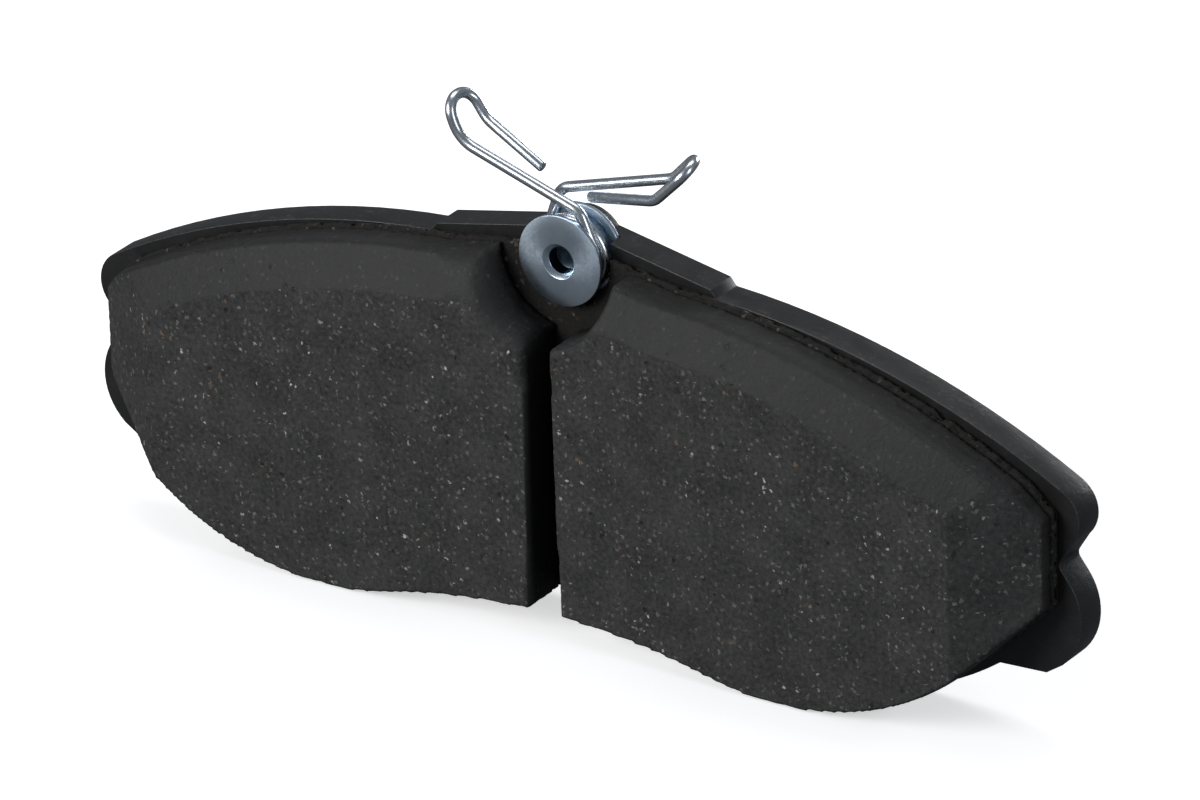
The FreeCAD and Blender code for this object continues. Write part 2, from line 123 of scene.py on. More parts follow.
def scatter(tree, point, scale, share, size):
    # spots in a share of the cells, each with its own size and brightness
    cells = put(tree, "ShaderNodeTexVoronoi", {"Vector": point, "Scale": scale})
    pick = put(tree, "ShaderNodeSeparateColor", {"Color": cells.outputs["Color"]})
    chosen = ramp(tree, pick.outputs["Red"], 1 - share, 1.0, 0.15, 1.0)
    kept = calc(tree, "GREATER_THAN", pick.outputs["Red"], 1 - share)
    chosen = calc(tree, "MULTIPLY", chosen, kept)
    reach = ramp(tree, pick.outputs["Green"], 0, 1, size * 0.45, size)
    inside = calc(tree, "SUBTRACT", reach, cells.outputs["Distance"])
    spot = ramp(tree, inside, 0, size * 0.3)
    return calc(tree, "MULTIPLY", chosen, spot)


def raggedPoint(tree, point, scale, reach):
    push = put(tree, "ShaderNodeTexNoise", {"Vector": point, "Scale": scale, "Detail": 2.0})
    centred = put(tree, "ShaderNodeVectorMath", operation="SUBTRACT")
    feed(tree, centred.inputs[0], push.outputs["Color"])
    centred.inputs[1].default_value = (0.5, 0.5, 0.5)
    moved = put(tree, "ShaderNodeVectorMath", operation="MULTIPLY_ADD")
    feed(tree, moved.inputs[0], centred.outputs[0])
    moved.inputs[1].default_value = (reach, reach, reach)
    feed(tree, moved.inputs[2], point)
    return moved.outputs[0]


def flecksGroup():
    tree, given, result = newGroup("mineralFlecks", [
        ("Fibres", "NodeSocketFloat", 1.0),
    ], [("Metal", "NodeSocketFloat"), ("Pale", "NodeSocketFloat"),
        ("Warm", "NodeSocketFloat"), ("ShadedPits", "NodeSocketFloat")])
    point = raggedPoint(tree, objectPoint(tree), 1800.0, 0.0011)
    crowd = ramp(tree, cloud(tree, objectPoint(tree), 110.0, 4.0), 0.38, 0.6, 0.12, 1.0)
    metal = scatter(tree, point, 900.0, 0.24, 0.31)
    fine = scatter(tree, point, 1150.0, 0.5, 0.40)
    fibres = 0.0
    for turn in ((0, 0.6, 0), (0, -0.8, 0), (0, 1.5, 0)):
        across = objectPoint(tree, scale=(0.24, 0.7, 1.0), turn=turn)
        threads = scatter(tree, raggedPoint(tree, across, 700.0, 0.0007), 560.0, 0.035, 0.26)
        fibres = calc(tree, "MAXIMUM", fibres, threads)
    fibres = calc(tree, "MULTIPLY", fibres, given["Fibres"])
    bright = calc(tree, "MAXIMUM", metal, fibres)
    feed(tree, result["Metal"], calc(tree, "MULTIPLY", bright, crowd))
    feed(tree, result["Pale"], fine)
    warm = scatter(tree, point, 640.0, 0.14, 0.34)
    feed(tree, result["Warm"], calc(tree, "MULTIPLY", warm, crowd))
    # the pits mask sets the pits' bump and where the friction colour paints shade into the pits
    feed(tree, result["ShadedPits"], scatter(tree, point, 620.0, 0.14, 0.34))
    return tree


def mottleGroup():
    tree, given, result = newGroup("mottle", [
        ("Coarse", "NodeSocketFloat", 120.0),
        ("Fine", "NodeSocketFloat", 1500.0),
    ], [("Patches", "NodeSocketFloat"), ("Grain", "NodeSocketFloat")])
    place = objectPoint(tree)
    feed(tree, result["Patches"], cloud(tree, place, given["Coarse"], 4.0))
    feed(tree, result["Grain"], cloud(tree, place, given["Fine"], 5.0, 0.7))
    return tree


def dustGroup():
    tree, given, result = newGroup("dust", [
        ("Amount", "NodeSocketFloat", 0.5),
    ], [("Mask", "NodeSocketFloat")])
    place = objectPoint(tree)
    facing = put(tree, "ShaderNodeTexCoord").outputs["Normal"]
    up = put(tree, "ShaderNodeSeparateXYZ", {"Vector": facing}).outputs["Z"]
    settled = ramp(tree, up, 0.1, 0.95)
    patches = ramp(tree, cloud(tree, place, 220.0, 4.0), 0.42, 0.7)
    specks = ramp(tree, cloud(tree, place, 1400.0, 4.0, 0.75), 0.52, 0.68)
    mask = calc(tree, "MULTIPLY", calc(tree, "MULTIPLY", settled, patches), specks)
    feed(tree, result["Mask"], calc(tree, "MULTIPLY", mask, given["Amount"]))
    return tree


mineralFlecks = flecksGroup()
mottle = mottleGroup()
dust = dustGroup()
print("shader groups built")


def useGroup(tree, group, **sockets):
    node = put(tree, "ShaderNodeGroup", node_tree=group)
    for label, value in sockets.items():
        feed(tree, node.inputs[label], value)
    return node.outputs


def newMaterial(name, **sockets):
    material = bpy.data.materials.new(name)
    material.use_nodes = True
    tree = material.node_tree
    shader = tree.nodes["Principled BSDF"]
    for label, value in sockets.items():
        shader.inputs[label.replace("_", " ")].default_value = value
    return material, tree, shader.inputs


def relief(tree, shader, *layers):
    # each layer is a height and how deep it is in metres
    normal = None
    for height, depth in layers:
        sockets = {"Height": height, "Distance": depth, "Strength": 1.0}
        bump = put(tree, "ShaderNodeBump", sockets)
        if normal is not None:
            feed(tree, bump.inputs["Normal"], normal)
        normal = bump.outputs["Normal"]
    feed(tree, shader["Normal"], normal)


compound = {
    "ground": (0.066, 0.065, 0.0635, 1),
    "groundDark": (0.012, 0.0119, 0.0118, 1),
    "skin": (0.0165, 0.0163, 0.0160, 1),
    "skinDark": (0.0095, 0.0094, 0.0092, 1),
    "metal": (0.62, 0.60, 0.57, 1),
    "pale": (0.15, 0.146, 0.14, 1),
    "warm": (0.24, 0.145, 0.085, 1),
    # near-black colour for the pits: painted shade in the hollows
    "pitShade": (0.008, 0.008, 0.008, 1),
    "flash": (0.0065, 0.0058, 0.0048, 1),
    "flashSpecks": (0.060, 0.048, 0.032, 1),
    "grainDepth": 0.12 * mm,
    "pitDepth": 0.10 * mm,
    "groundRough": 0.85,
    "skinRough": 0.6,
    "metalShine": 0.3,
}


def frictionMaterial():
    material, tree, shader = newMaterial("frictionCompound", IOR=1.45)
    ground = readMask(tree, "ground")
    texture = useGroup(tree, mottle, Coarse=150.0, Fine=1500.0)
    flecks = useGroup(tree, mineralFlecks, Fibres=0.9)
    grain = ramp(tree, texture["Grain"], 0.34, 0.66, 0.0, 0.7)
    patches = ramp(tree, texture["Patches"], 0.35, 0.65, 0.0, 0.3)
    shade = calc(tree, "ADD", grain, patches)
    cut = mixColour(tree, shade, compound["groundDark"], compound["ground"])
    # the pits are painted near black over the ground colour, as painted shade
    layers = (("ShadedPits", "pitShade"), ("Pale", "pale"), ("Warm", "warm"), ("Metal", "metal"))
    for spots, colour in layers:
        cut = mixColour(tree, flecks[spots], cut, compound[colour])
    skin = mixColour(tree, shade, compound["skinDark"], compound["skin"])
    faint = calc(tree, "MULTIPLY", flecks["Pale"], 0.25)
    skin = mixColour(tree, faint, skin, compound["pale"])
    specks = calc(tree, "MAXIMUM", flecks["Warm"], calc(tree, "MULTIPLY", flecks["Pale"], 0.6))
    torn = mixColour(tree, specks, compound["flash"], compound["flashSpecks"])
    skin = mixColour(tree, readMask(tree, "flash"), skin, torn)
    feed(tree, shader["Base Color"], mixColour(tree, ground, skin, cut))
    shining = calc(tree, "MULTIPLY", flecks["Metal"], ground)
    rough = ramp(tree, ground, 0.0, 1.0, compound["skinRough"], compound["groundRough"])
    polish = calc(tree, "MULTIPLY", shining, compound["metalShine"])
    feed(tree, shader["Roughness"], calc(tree, "SUBTRACT", rough, polish))
    pits = calc(tree, "MULTIPLY", flecks["ShadedPits"], -1.0)
    relief(tree, shader, (texture["Grain"], compound["grainDepth"]),
           (pits, compound["pitDepth"]))
    return material


backing = {
    "colour": (0.0115, 0.0115, 0.012, 1),
    "worn": (0.075, 0.073, 0.07, 1),
    "dust": (0.16, 0.15, 0.14, 1),
    "dustAmount": 0.55,
    "wearAmount": 0.6,
    "rough": (0.34, 0.5),
    "rippleDepth": 0.12 * mm,
    "grainDepth": 0.03 * mm,
}


def plateMaterial():
    material, tree, shader = newMaterial("platePaint", IOR=1.5)
    texture = useGroup(tree, mottle, Coarse=260.0, Fine=2600.0)
    settled = useGroup(tree, dust, Amount=backing["dustAmount"])
    rubbed = ramp(tree, texture["Grain"], 0.45, 0.62)
    wear = calc(tree, "MULTIPLY", readMask(tree, "wear"), rubbed)
    wear = calc(tree, "MULTIPLY", wear, backing["wearAmount"])
    colour = mixColour(tree, wear, backing["colour"], backing["worn"])
    colour = mixColour(tree, settled["Mask"], colour, backing["dust"])
    feed(tree, shader["Base Color"], colour)
    feed(tree, shader["Roughness"], ramp(tree, texture["Patches"], 0.3, 0.7, *backing["rough"]))
    relief(tree, shader, (texture["Patches"], backing["rippleDepth"]),
           (texture["Grain"], backing["grainDepth"]))
    return material


moulding = {
    "dark": (0.0045, 0.0042, 0.004, 1),
    "light": (0.014, 0.0115, 0.009, 1),
    "warm": (0.11, 0.065, 0.035, 1),
    "pale": (0.10, 0.09, 0.075, 1),
    "grainDepth": 0.25 * mm,
}


def underlayerMaterial():
    material, tree, shader = newMaterial("underlayerCompound", IOR=1.45, Roughness=0.85)
    texture = useGroup(tree, mottle, Coarse=500.0, Fine=2200.0)
    flecks = useGroup(tree, mineralFlecks, Fibres=0.3)
    shade = ramp(tree, texture["Grain"], 0.35, 0.65)
    colour = mixColour(tree, shade, moulding["dark"], moulding["light"])
    colour = mixColour(tree, flecks["Warm"], colour, moulding["warm"])
    colour = mixColour(tree, flecks["Pale"], colour, moulding["pale"])
    feed(tree, shader["Base Color"], colour)
    relief(tree, shader, (texture["Grain"], moulding["grainDepth"]))
    return material


film = {
    "dark": (0.012, 0.008, 0.005, 1),
    "light": (0.035, 0.022, 0.012, 1),
    "grainDepth": 0.05 * mm,
}


def filmMaterial():
    material, tree, shader = newMaterial("bondingFilm", IOR=1.5, Roughness=0.4)
    texture = useGroup(tree, mottle, Coarse=400.0, Fine=2600.0)
    colour = mixColour(tree, texture["Patches"], film["dark"], film["light"])
    feed(tree, shader["Base Color"], colour)
    relief(tree, shader, (texture["Grain"], film["grainDepth"]))
    return material


zinc = {
    "zincPlate": {
        "colour": (0.66, 0.76, 0.86, 1),
        "tint": (0.56, 0.67, 0.79, 1),
        "rough": (0.26, 0.38),
        "ripple": 0.02 * mm,
        "turnedShine": 0.6,
    },
    "zincWire": {
        "colour": (0.74, 0.77, 0.80, 1),
        "tint": (0.60, 0.66, 0.73, 1),
        "rough": (0.22, 0.34),
        "ripple": 0.003 * mm,
        "turnedShine": 0.0,
    },
    # dark zinc colour painted inside the rivet's hole: painted shade
    "holeShade": (0.06, 0.09, 0.12, 1),
}


def zincMaterial(name):
    plating = zinc[name]
    material, tree, shader = newMaterial(name, Metallic=1.0)
    texture = useGroup(tree, mottle, Coarse=300.0, Fine=3200.0)
    patches = ramp(tree, texture["Patches"], 0.35, 0.65)
    plated = mixColour(tree, patches, plating["colour"], plating["tint"])
    # faces inside the rivet's hole take the painted shade colour
    plated = mixColour(tree, readMask(tree, "holeShade"), plated, zinc["holeShade"])
    feed(tree, shader["Base Color"], plated)
    feed(tree, shader["Roughness"], ramp(tree, texture["Grain"], 0.3, 0.7, *plating["rough"]))
    relief(tree, shader, (texture["Patches"], plating["ripple"]))
    if plating["turnedShine"]:
        shader["Anisotropic"].default_value = plating["turnedShine"]
        rings = put(tree, "ShaderNodeTangent", direction_type="RADIAL", axis="Y")
        feed(tree, shader["Tangent"], rings.outputs[0])
    return material


finishes = {
    "friction": frictionMaterial(),
    "plate": plateMaterial(),
    "underlayer": underlayerMaterial(),
    "film": filmMaterial(),
    "zinc": zincMaterial("zincPlate"),
    "wire": zincMaterial("zincWire"),
}
print("materials:", ", ".join(finishes))


def newPiece(name, mesh, finish, slot, body, *nodes):
    piece = addObject(name, mesh)
    mesh.materials.clear()
    mesh.materials.append(finishes[finish])
    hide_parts(*nodes)
    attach(piece, body)


weldDistance = 0.001 * mm
coplanar = math.radians(0.6)
broadFace = 30 * mm * mm


def openCopy(node):
    # a merged copy of a CAD node's mesh, with its flat faces joined up
    bm = bmesh.new()
    bm.from_mesh(frame["nodes"][node].data)
    bmesh.ops.remove_doubles(bm, verts=bm.verts, dist=weldDistance)
    bmesh.ops.dissolve_limit(bm, angle_limit=coplanar, verts=bm.verts, edges=bm.edges)
    return bm


def sharpEdges(bm, degrees):
    limit = math.radians(degrees)
    return [e for e in bm.edges if len(e.link_faces) == 2 and e.calc_face_angle(0) > limit]


def roundEdges(bm, edges, width, segments):
    made = bmesh.ops.bevel(bm, geom=edges, offset=width, offset_type="OFFSET", affect="EDGES",
                           segments=segments, profile=0.5, material=-1, clamp_overlap=True)
    return made["faces"]


def closeMesh(bm, name, creaseDegrees=32):
    for face in bm.faces:
        face.smooth = True
    for edge in sharpEdges(bm, creaseDegrees):
        edge.smooth = False
    # a broad flat face keeps its own normal right up to its rounded edge
    for edge in sharpEdges(bm, 1.0):
        if max(face.calc_area() for face in edge.link_faces) > broadFace:
            edge.smooth = False
    mesh = bpy.data.meshes.new(name)
    bm.to_mesh(mesh)
    bm.free()
    return mesh


plate = {"edgeRound": 0.32 * mm, "segments": 3, "sharpAbove": 35}


def buildPlate():
    bm = openCopy("backing_plate")
    wear = bm.faces.layers.float.new("wear")
    edges = sharpEdges(bm, plate["sharpAbove"])
    for face in roundEdges(bm, edges, plate["edgeRound"], plate["segments"]):
        face[wear] = 1.0
    newPiece("backingPlate", closeMesh(bm, "backingPlate"), "plate", "plate_paint", "pad",
             "backing_plate")


def voxelMesh(bm, name, voxel):
    # an even skin of small faces over the whole shape
    mesh = bpy.data.meshes.new(name)
    bm.to_mesh(mesh)
    bm.free()
    carrier = addObject(name + "_carrier", mesh)
    remesh = carrier.modifiers.new("remesh", "REMESH")
    remesh.mode = "VOXEL"
    remesh.voxel_size = voxel
    remesh.use_smooth_shade = True
    shape = carrier.evaluated_get(bpy.context.evaluated_depsgraph_get())
    made = bpy.data.meshes.new_from_object(shape)
    made.name = name
    bpy.data.objects.remove(carrier)
    bpy.data.meshes.remove(mesh)
    return made


lumpNoise = {"roughness": 0.6, "lacunarity": 2.1, "octaves": 3}


def lumps(point, scale):
    return noise.fractal(point * scale, *lumpNoise.values())


block = {
    "sharpAbove": 20,
    "edgeRound": 0.45 * mm,
    "segments": 2,
    "voxel": 0.40 * mm,
    "skinLumps": 0.05 * mm,
    "groundLumps": 0.015 * mm,
    "chips": 0.14 * mm,
    "bayReach": 17.0 * mm,
    "bayFoot": 0.6 * mm,
    "bayRounds": {"left": 120, "right": 8},
    "smoothing": 0.5,
}

crumbling = {
    "edgeStart": 0.12,
    "edgeSpan": 0.35,
    "faceLean": 0.8,
    "faceFlat": 0.97,
    "faceRise": 0.25,
    "chamferGround": 0.75,
    "tornReach": 3.0 * mm,
    "tornEdge": 1.0 * mm,
    "tornRagged": 0.5,
    "tornGain": 3,
    "tornScale": 600,
    "lumpScale": 700,
    "crumbScale": 800,
    "fineScale": 2000,
    "fineShare": 0.3,
}


def crumble(mesh, groundLumps, skinLumps, chips):
    # ground faces stay nearly flat, moulded sides are lumpy, and edges lose crumbs;
    # the torn band beside the plate is lumpier, and the whole underlayer lies in it
    how = crumbling
    bm = bmesh.new()
    bm.from_mesh(mesh)
    bm.normal_update()
    ground = bm.verts.layers.float.new("ground")
    flash = bm.verts.layers.float.new("flash")
    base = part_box("underlayer")[0].y - how["tornReach"]
    moves = []
    for vert in bm.verts:
        turn = max((e.calc_face_angle(0) for e in vert.link_edges if len(e.link_faces) == 2),
                   default=0)
        edge = min(1.0, max(0.0, turn - how["edgeStart"]) / how["edgeSpan"])
        cut = vert.normal.y < -how["faceLean"] and abs(vert.normal.z) < how["faceRise"]
        shown = 1.0 if vert.normal.y < -how["faceFlat"] else how["chamferGround"]
        vert[ground] = shown if cut else 0.0
        ragged = how["tornRagged"] * lumps(vert.co, how["tornScale"])
        torn = min(1.0, max(0.0, (vert.co.y - base) / how["tornEdge"] + ragged))
        vert[flash] = 0.0 if cut else torn
        height = groundLumps if cut else skinLumps * (1 + how["tornGain"] * torn)
        depth = height * lumps(vert.co, how["lumpScale"])
        crumbs = lumps(vert.co, how["crumbScale"])
        crumbs += how["fineShare"] * lumps(vert.co, how["fineScale"])
        moves.append(vert.normal * (min(depth, 0.0) - max(0.0, crumbs) * chips * edge))
    for vert, move in zip(bm.verts, moves):
        vert.co += move
    for face in bm.faces:
        face.smooth = True
    bm.to_mesh(mesh)
    bm.free()


def softenBay(mesh, rounds):
    bm = bmesh.new()
    bm.from_mesh(mesh)
    # the wall of the bay is rounded off, and its foot stays where it is
    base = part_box("underlayer")[0].y - block["bayFoot"]
    near = [v for v in bm.verts if v.co.y < base
            and math.hypot(v.co.x, v.co.z - rivetAxis.z) < block["bayReach"]]
    for _ in range(rounds):
        bmesh.ops.smooth_vert(bm, verts=near, factor=block["smoothing"], use_axis_x=True,
                              use_axis_y=True, use_axis_z=True)
    bm.to_mesh(mesh)
    bm.free()


def buildBlock(side):
    node = "friction_block_" + side
    bm = openCopy(node)
    edges = sharpEdges(bm, block["sharpAbove"])
    roundEdges(bm, edges, block["edgeRound"], block["segments"])
    mesh = voxelMesh(bm, "frictionBlock_" + side, block["voxel"])
    softenBay(mesh, block["bayRounds"][side])
    crumble(mesh, block["groundLumps"], block["skinLumps"], block["chips"])
    newPiece("frictionBlock_" + side, mesh, "friction", "friction", "pad", node)
    print("friction block", side, len(mesh.polygons), "faces")


underlayer = {"voxel": 0.45 * mm, "lumps": 0.22 * mm, "chips": 0.3 * mm}


def buildUnderlayer():
    bm = openCopy("underlayer")
    mesh = voxelMesh(bm, "underlayer_moulded", underlayer["voxel"])
    crumble(mesh, 0.0, underlayer["lumps"], underlayer["chips"])
    newPiece("underlayerMoulded", mesh, "underlayer", "underlayer", "pad", "underlayer")
    print("underlayer", len(mesh.polygons), "faces")


def turned(profile, steps):
    # profile points are radius and place along the rivet's axis
    bm = bmesh.new()
    points = [bm.verts.new(rivetAxis + Vector((radius, along, 0))) for radius, along in profile]
    edges = [bm.edges.new(pair) for pair in zip(points, points[1:])]
    bmesh.ops.spin(bm, geom=points + edges, cent=rivetAxis, axis=alongRivet, dvec=(0, 0, 0),
                   angle=2 * math.pi, steps=steps, use_merge=True, use_duplicate=False)
    bmesh.ops.remove_doubles(bm, verts=bm.verts, dist=weldDistance)
    bmesh.ops.recalc_face_normals(bm, faces=bm.faces)
    return bm


rivet = {
    "steps": 96,
    "holeRadius": 1.85 * mm,
    "holeDepth": 2.4 * mm,
    "rimRadius": 2.5 * mm,
    "rimDepth": 0.6 * mm,
    "headThick": 0.9 * mm,
    "crown": 0.25 * mm,
    "shoulder": 3.9 * mm,
    "tenon": 2.2 * mm,
    "tail": 3.0 * mm,
    "tailDepth": 1.0 * mm,
    "sharpAbove": 30,
    "edgeRound": 0.07 * mm,
    "segments": 3,
    "crease": 28,
    "holeCone": 0.35 * mm,
    "crownAt": 0.72,
    "crownShare": 0.35,
    "holeShadeEnd": 2 * mm,
}


def buildRivet():
    low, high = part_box("rivet")
    radius = (high.x - low.x) / 2
    front, back = low.y, high.y
    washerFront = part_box("spring_washer")[0].y
    r = rivet
    profile = [
        (0, front + r["holeDepth"] + r["holeCone"]),
        (r["holeRadius"], front + r["holeDepth"]),
        (r["holeRadius"], front + r["rimDepth"]),
        (r["rimRadius"], front),
        (radius * r["crownAt"], front + r["crown"] * r["crownShare"]),
        (radius, front + r["crown"]),
        (radius, front + r["headThick"]),
        (r["shoulder"], front + r["headThick"]),
        (r["shoulder"], washerFront),
        (r["tenon"], washerFront),
        (r["tenon"], back - r["tailDepth"]),
        (r["tail"], back),
        (0, back),
    ]
    bm = turned(profile, r["steps"])
    # faces inside the hole's radius, short of the rivet's back end, are marked for painted shade
    holeShade = bm.faces.layers.float.new("holeShade")
    for face in bm.faces:
        middle = face.calc_center_median()
        reach = ((middle - rivetAxis) * Vector((1, 0, 1))).length
        inside = reach < r["holeRadius"] * 1.01 and middle.y < back - r["holeShadeEnd"]
        face[holeShade] = 1.0 if inside else 0.0
    roundEdges(bm, sharpEdges(bm, r["sharpAbove"]), r["edgeRound"], r["segments"])
    mesh = closeMesh(bm, "rivetTurned", r["crease"])
    newPiece("rivetTurned", mesh, "zinc", "zinc", "pad", "rivet")


washer = {
    "steps": 96,
    "bore": 2.25 * mm,
    "sharpAbove": 30,
    "edgeRound": 0.1 * mm,
    "segments": 3,
    "crease": 50,
}


def buildWasher():
    low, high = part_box("spring_washer")
    radius = (high.x - low.x) / 2
    bore = washer["bore"]
    corners = [(bore, low.y), (radius, low.y), (radius, high.y), (bore, high.y)]
    bm = turned(corners + corners[:1], washer["steps"])
    edges = sharpEdges(bm, washer["sharpAbove"])
    roundEdges(bm, edges, washer["edgeRound"], washer["segments"])
    mesh = closeMesh(bm, "springWasher", washer["crease"])
    newPiece("springWasher", mesh, "zinc", "zinc", "pad", "spring_washer")


spring = {
    # corners in millimetres from the middle of the turn that the arm leaves: right, back, up
    "left": [(2.5, 0, 7.1), (-16.4, 0, 13.4), (-18.3, 0, 18.6), (-18.0, 5.0, 18.6),
             (-14.9, 4.5, 14.9), (-4.9, 2.5, 10.9)],
    "leftBends": (2.6, 5.0, 2.4, 2.1, 4.0),
    "right": [(2.3, 0, 8.5), (-15.6, 0, 13.7), (-18.9, 0, 17.2), (-22.0, 4.5, 18.6),
              (-15.4, 4.4, 12.1), (-3.8, 2.2, 9.3)],
    "rightBends": (2.6, 3.0, 2.1, 2.1, 3.0),
    "coilRadius": 5.0 * mm,
    "pitch": 1.7 * mm,
    "armWrap": 130,
    "lap": 40,
    "sides": 20,
    "degreesPerStep": 6,
    "endChamfer": 0.2 * mm,
    "segments": 2,
    "crease": 40,
    "coilWireShare": 0.995,
}


def wireRing(bm, centre, heading, radius):
    frameAt = Matrix.Translation(centre) @ heading.to_track_quat("Z", "Y").to_matrix().to_4x4()
    made = bmesh.ops.create_circle(bm, segments=spring["sides"], radius=radius, matrix=frameAt)
    return made["verts"] + list({edge for vert in made["verts"] for edge in vert.link_edges})


def ringVerts(ring):
    return [item for item in ring if isinstance(item, bmesh.types.BMVert)]


def ringEdges(ring):
    return [item for item in ring if isinstance(item, bmesh.types.BMEdge)]


def bendWire(bm, ring, centre, axis, angle, climb=0.0):
    steps = max(2, round(math.degrees(abs(angle)) / spring["degreesPerStep"]))
    made = bmesh.ops.spin(bm, geom=ring, cent=centre, axis=axis, dvec=axis * climb / steps,
                          angle=angle, steps=steps, use_merge=False, use_duplicate=False)
    return made["geom_last"]


def runWire(bm, ring, run):
    made = bmesh.ops.extrude_edge_only(bm, edges=ringEdges(ring))["geom"]
    fresh = set(ringVerts(made))
    bmesh.ops.translate(bm, verts=list(fresh), vec=run)
    return list(fresh) + [edge for edge in ringEdges(made) if set(edge.verts) <= fresh]


def formArm(bm, ring, corners, bends):
    # straight run to each corner, then a bend of its radius, as on a wire former
    here = corners[0]
    for before, corner, after, radius in zip(corners, corners[1:], corners[2:], bends):
        into = (corner - before).normalized()
        away = (after - corner).normalized()
        turn = into.angle(away)
        start = corner - into * (radius * math.tan(turn / 2))
        ring = runWire(bm, ring, start - here)
        axis = into.cross(away).normalized()
        centre = start + axis.cross(into) * radius
        ring = bendWire(bm, ring, centre, axis, turn)
        here = corner + away * (radius * math.tan(turn / 2))
    return runWire(bm, ring, corners[-1] - here)


def closeWire(bm, name, cutEnd=None):
    bmesh.ops.remove_doubles(bm, verts=bm.verts, dist=weldDistance)
    bmesh.ops.holes_fill(bm, edges=bm.edges, sides=0)
    bmesh.ops.recalc_face_normals(bm, faces=bm.faces)
    if cutEnd is not None:
        tip = min((f for f in bm.faces if len(f.verts) == spring["sides"]),
                  key=lambda f: (f.calc_center_median() - cutEnd).length)
        roundEdges(bm, list(tip.edges), spring["endChamfer"], spring["segments"])
    return closeMesh(bm, name, spring["crease"])


def leaveAngle(elbow):
    # angle at which a straight run to the first corner leaves the coil
    reach = Vector(elbow).length
    return math.atan2(elbow[2], elbow[0]) - math.acos(spring["coilRadius"] / mm / reach)


def onTurn(angle, radius):
    return Vector((radius * math.cos(angle), 0, radius * math.sin(angle)))


def buildArm(side, frontY, wire):
    coil = spring["coilRadius"]
    middle = Vector((0, frontY, rivetAxis.z))
    leave = leaveAngle(spring[side][0])
    climb = spring["pitch"] / (2 * math.pi)
    wrap = math.radians(spring["armWrap"])
    start = middle + onTurn(leave - wrap, coil) + alongRivet * (climb * wrap)
    heading = onTurn(leave - wrap + math.pi / 2, 1.0) - alongRivet * (climb / coil)
    bm = bmesh.new()
    ring = wireRing(bm, start, heading, wire)
    ring = bendWire(bm, ring, middle, alongRivet, -wrap, -climb * wrap)
    corners = [middle + onTurn(leave, coil)]
    corners += [middle + Vector(corner) * mm for corner in spring[side]]
    formArm(bm, ring, corners, [bend * mm for bend in spring[side + "Bends"]])
    return bm, corners[-1]


def buildSpring():
    low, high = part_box("spring_coil")
    wire = (high.x - low.x) / 2 - spring["coilRadius"]
    climb = spring["pitch"] / (2 * math.pi)
    frontY = low.y + wire
    sweep = 3 * math.pi + leaveAngle(spring["left"][0]) + leaveAngle(spring["right"][0])
    rearY = frontY + climb * sweep
    bm, tip = buildArm("left", frontY, wire)
    newPiece("springArm_left", closeWire(bm, "springArm_left", tip), "wire", "spring_wire",
             "arm_left", "spring_arm_left")
    bm, tip = buildArm("right", frontY, wire)
    halfTurn = Matrix.Translation((0, frontY + rearY, 0)) @ Matrix.Rotation(math.pi, 4, "Z")
    bmesh.ops.transform(bm, matrix=halfTurn, verts=bm.verts)
    newPiece("springArm_right", closeWire(bm, "springArm_right", halfTurn @ tip), "wire",
             "spring_wire", "arm_right", "spring_arm_right")
    # the coil's ends run inside both arms for the length of the lap
    inset = math.radians(spring["armWrap"] - spring["lap"])
    leave = leaveAngle(spring["left"][0])
    middle = Vector((0, frontY, rivetAxis.z))
    coil = spring["coilRadius"]
    start = middle + onTurn(leave - inset, coil) + alongRivet * (climb * inset)
    heading = onTurn(leave - inset - math.pi / 2, 1.0) + alongRivet * (climb / coil)
    bm = bmesh.new()
    ring = wireRing(bm, start, heading, wire * spring["coilWireShare"])
    turn = sweep - 2 * inset
    bendWire(bm, ring, middle, alongRivet, turn, climb * turn)
    newPiece("springCoil", closeWire(bm, "springCoil"), "wire", "spring_wire", "spring",
             "spring_coil")


def paintNode(node, finish):
    mesh = frame["nodes"][node].data
    mesh.materials.clear()
    mesh.materials.append(finishes[finish])


buildPlate()
print("plate built")
buildBlock("left")
buildBlock("right")
buildUnderlayer()
paintNode("adhesive_film", "film")
buildRivet()
buildWasher()
buildSpring()
print("rivet, washer and spring built")


studio = {
    "floorSeen": (0.92, 0.92, 0.92, 1),
    "floorGlow": 0.55,
    "floorMirrored": (0.16, 0.165, 0.17, 1),
    "surroundings": (0.40, 0.43, 0.47, 1),
    "surroundStrength": 0.37,
    "backdrop": (0.95, 0.95, 0.95, 1),
    "floorHalf": 3.0,
    "middle": (0, 0, 0.03),
    # name: place, width, height, power, colour
    "lights": {
        "keyLight": ((-0.62, -0.98, 0.55), 0.75, 0.6, 11.4, (1, 1, 1)),
        "topLight": ((-0.1, 0.25, 0.95), 0.8, 0.4, 3.0, (1, 1, 1)),
        "backLight": ((0.05, 1.3, 0.2), 0.5, 0.3, 7.0, (1, 1, 1)),
        "rightLight": ((0.9, -0.2, 0.35), 0.2, 0.5, 2.2, (0.88, 0.94, 1.0)),
    },
}


def areaLight(name, place, width, height, power, colour):
    light = bpy.data.lights.new(name, "AREA")
    light.shape = "RECTANGLE"
    light.size = width
    light.size_y = height
    light.energy = power
    light.color = colour
    lamp = addObject(name, light)
    lamp.location = place
    lamp.rotation_mode = "QUATERNION"
    aim = Vector(studio["middle"]) - Vector(place)
    lamp.rotation_quaternion = aim.to_track_quat("-Z", "Y")
    lamp.visible_camera = False


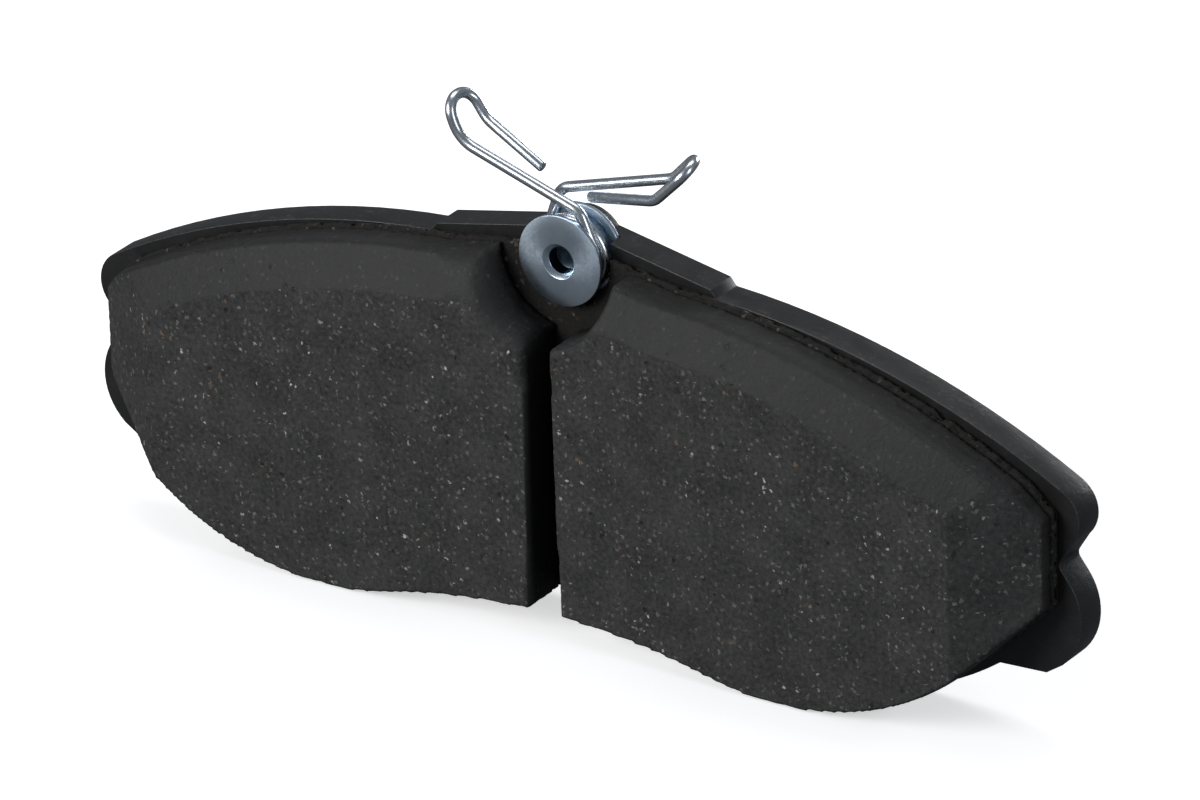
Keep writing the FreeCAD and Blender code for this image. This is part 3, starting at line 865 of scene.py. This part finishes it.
def floorMaterial():
    # pale to look at, mid grey in the metal's reflections
    material, tree, shader = newMaterial("floorPaper", Roughness=0.9,
                                         Emission_Strength=studio["floorGlow"])
    shader["Base Color"].default_value = studio["floorSeen"]
    shader["Emission Color"].default_value = studio["floorSeen"]
    mirrored = put(tree, "ShaderNodeBsdfDiffuse", {"Color": studio["floorMirrored"]})
    seen = put(tree, "ShaderNodeLightPath").outputs["Is Camera Ray"]
    mix = put(tree, "ShaderNodeMixShader")
    feed(tree, mix.inputs[0], seen)
    feed(tree, mix.inputs[1], mirrored.outputs[0])
    feed(tree, mix.inputs[2], tree.nodes["Principled BSDF"].outputs[0])
    feed(tree, tree.nodes["Material Output"].inputs["Surface"], mix.outputs[0])
    return material


def studioWorld():
    world = bpy.data.worlds.new("studio")
    world.use_nodes = True
    tree = world.node_tree
    around = tree.nodes["Background"]
    around.inputs["Color"].default_value = studio["surroundings"]
    around.inputs["Strength"].default_value = studio["surroundStrength"]
    backdrop = put(tree, "ShaderNodeBackground", {"Color": studio["backdrop"]})
    mix = put(tree, "ShaderNodeMixShader")
    feed(tree, mix.inputs[0], put(tree, "ShaderNodeLightPath").outputs["Is Camera Ray"])
    feed(tree, mix.inputs[1], around.outputs[0])
    feed(tree, mix.inputs[2], backdrop.outputs[0])
    feed(tree, tree.nodes["World Output"].inputs["Surface"], mix.outputs[0])
    return world


def buildStudio():
    bm = bmesh.new()
    bmesh.ops.create_grid(bm, x_segments=1, y_segments=1, size=studio["floorHalf"])
    mesh = bpy.data.meshes.new("floor")
    bm.to_mesh(mesh)
    bm.free()
    floor = addObject("floor", mesh)
    mesh.materials.append(floorMaterial())
    bpy.context.scene.world = studioWorld()
    for name, light in studio["lights"].items():
        areaLight(name, *light)


camera = {
    "azimuth": 34.495,
    "elevation": 25.284,
    "roll": -1.844,
    "distance": 1.549,
    "pivot": (0, -0.00725, 0.028),
    "aim": (0.00533, -0.00025, 0.03436),
    "lens": 351.0,
    "sensor": 36.0,
    "near": 0.05,
    "far": 30.0,
}


def buildCamera():
    a = math.radians(camera["azimuth"])
    e = math.radians(camera["elevation"])
    back = Vector((math.sin(a) * math.cos(e), -math.cos(a) * math.cos(e), math.sin(e)))
    lens = bpy.data.cameras.new("camera")
    lens.sensor_width = camera["sensor"]
    lens.lens = camera["lens"]
    lens.clip_start = camera["near"]
    lens.clip_end = camera["far"]
    holder = addObject("camera", lens)
    holder.location = Vector(camera["pivot"]) + back * camera["distance"]
    look = (Vector(camera["aim"]) - holder.location).to_track_quat("-Z", "Y")
    roll = Matrix.Rotation(math.radians(camera["roll"]), 4, "Z")
    holder.rotation_mode = "QUATERNION"
    holder.rotation_quaternion = (look.to_matrix().to_4x4() @ roll).to_quaternion()
    bpy.context.scene.camera = holder


buildStudio()
buildCamera()
bpy.context.scene.view_settings.view_transform = "Standard"
print("studio and camera set")
